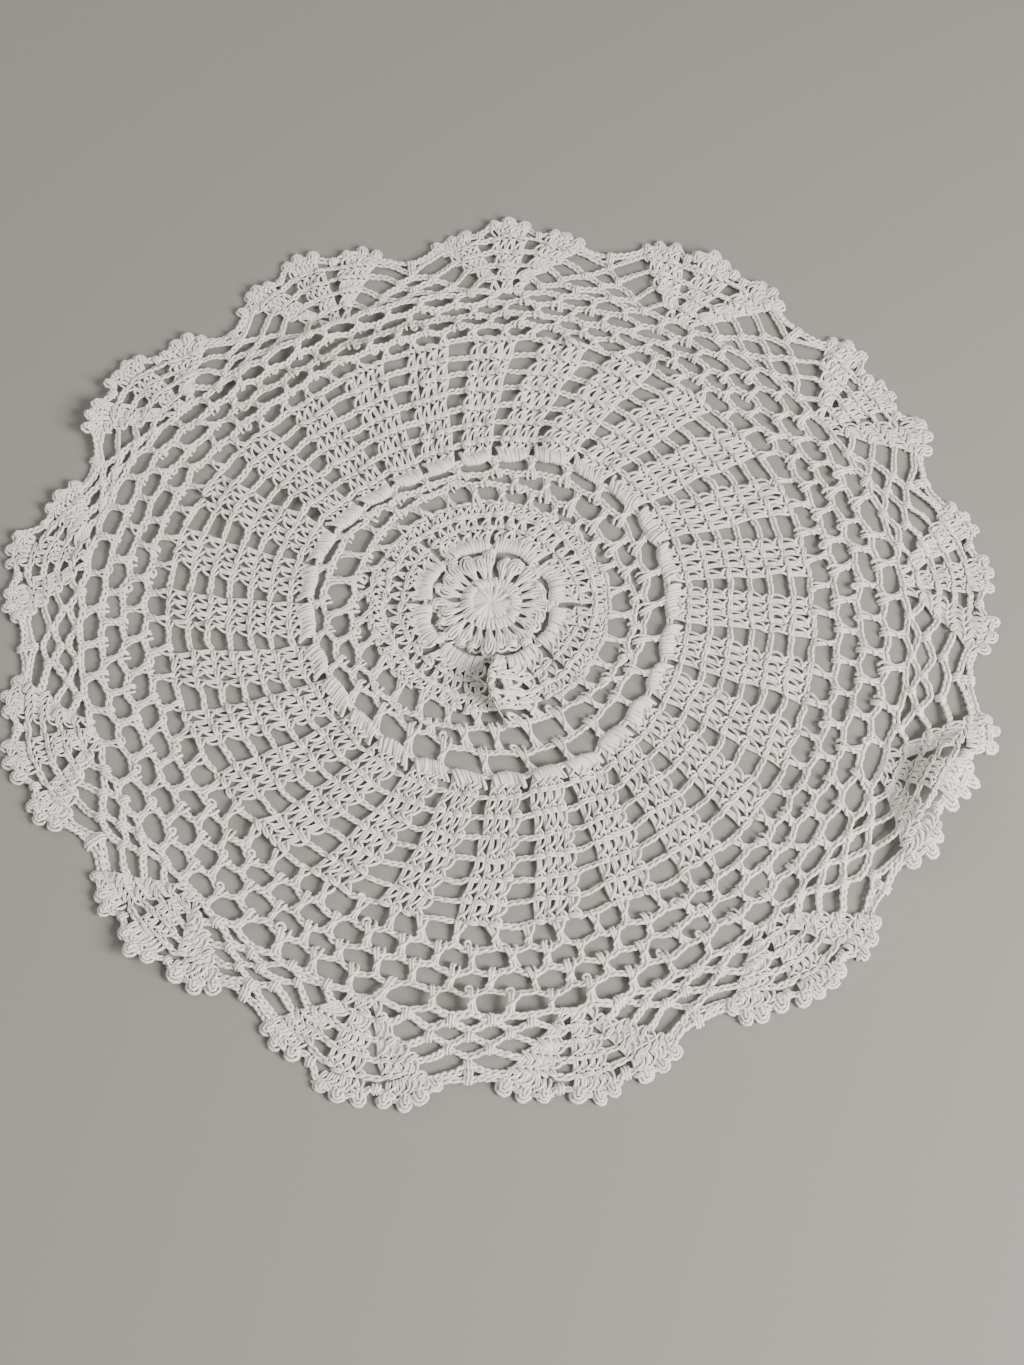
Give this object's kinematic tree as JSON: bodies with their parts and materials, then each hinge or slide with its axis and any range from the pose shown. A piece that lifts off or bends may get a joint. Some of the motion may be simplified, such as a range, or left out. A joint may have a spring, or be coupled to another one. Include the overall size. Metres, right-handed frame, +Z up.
{
  "type": "crocheted lace doily",
  "caption": "Round crocheted cotton doily with a rosette centre, ladder panels, two open nets and a scalloped picot edge, lying flat with soft folds.",
  "frame": {"origin": "middle of the doily's outline, at the table surface it lies on", "axes": "+Z up from the table; +X to the right and +Y away from a person looking at it"},
  "size_m": [0.302, 0.3021, 0.01],
  "materials": {
    "cotton_thread": "matt off-white cotton thread, worked in crochet"
  },
  "bodies": {
    "root": {"doily": "cotton_thread"}
  },
  "joints": []
}
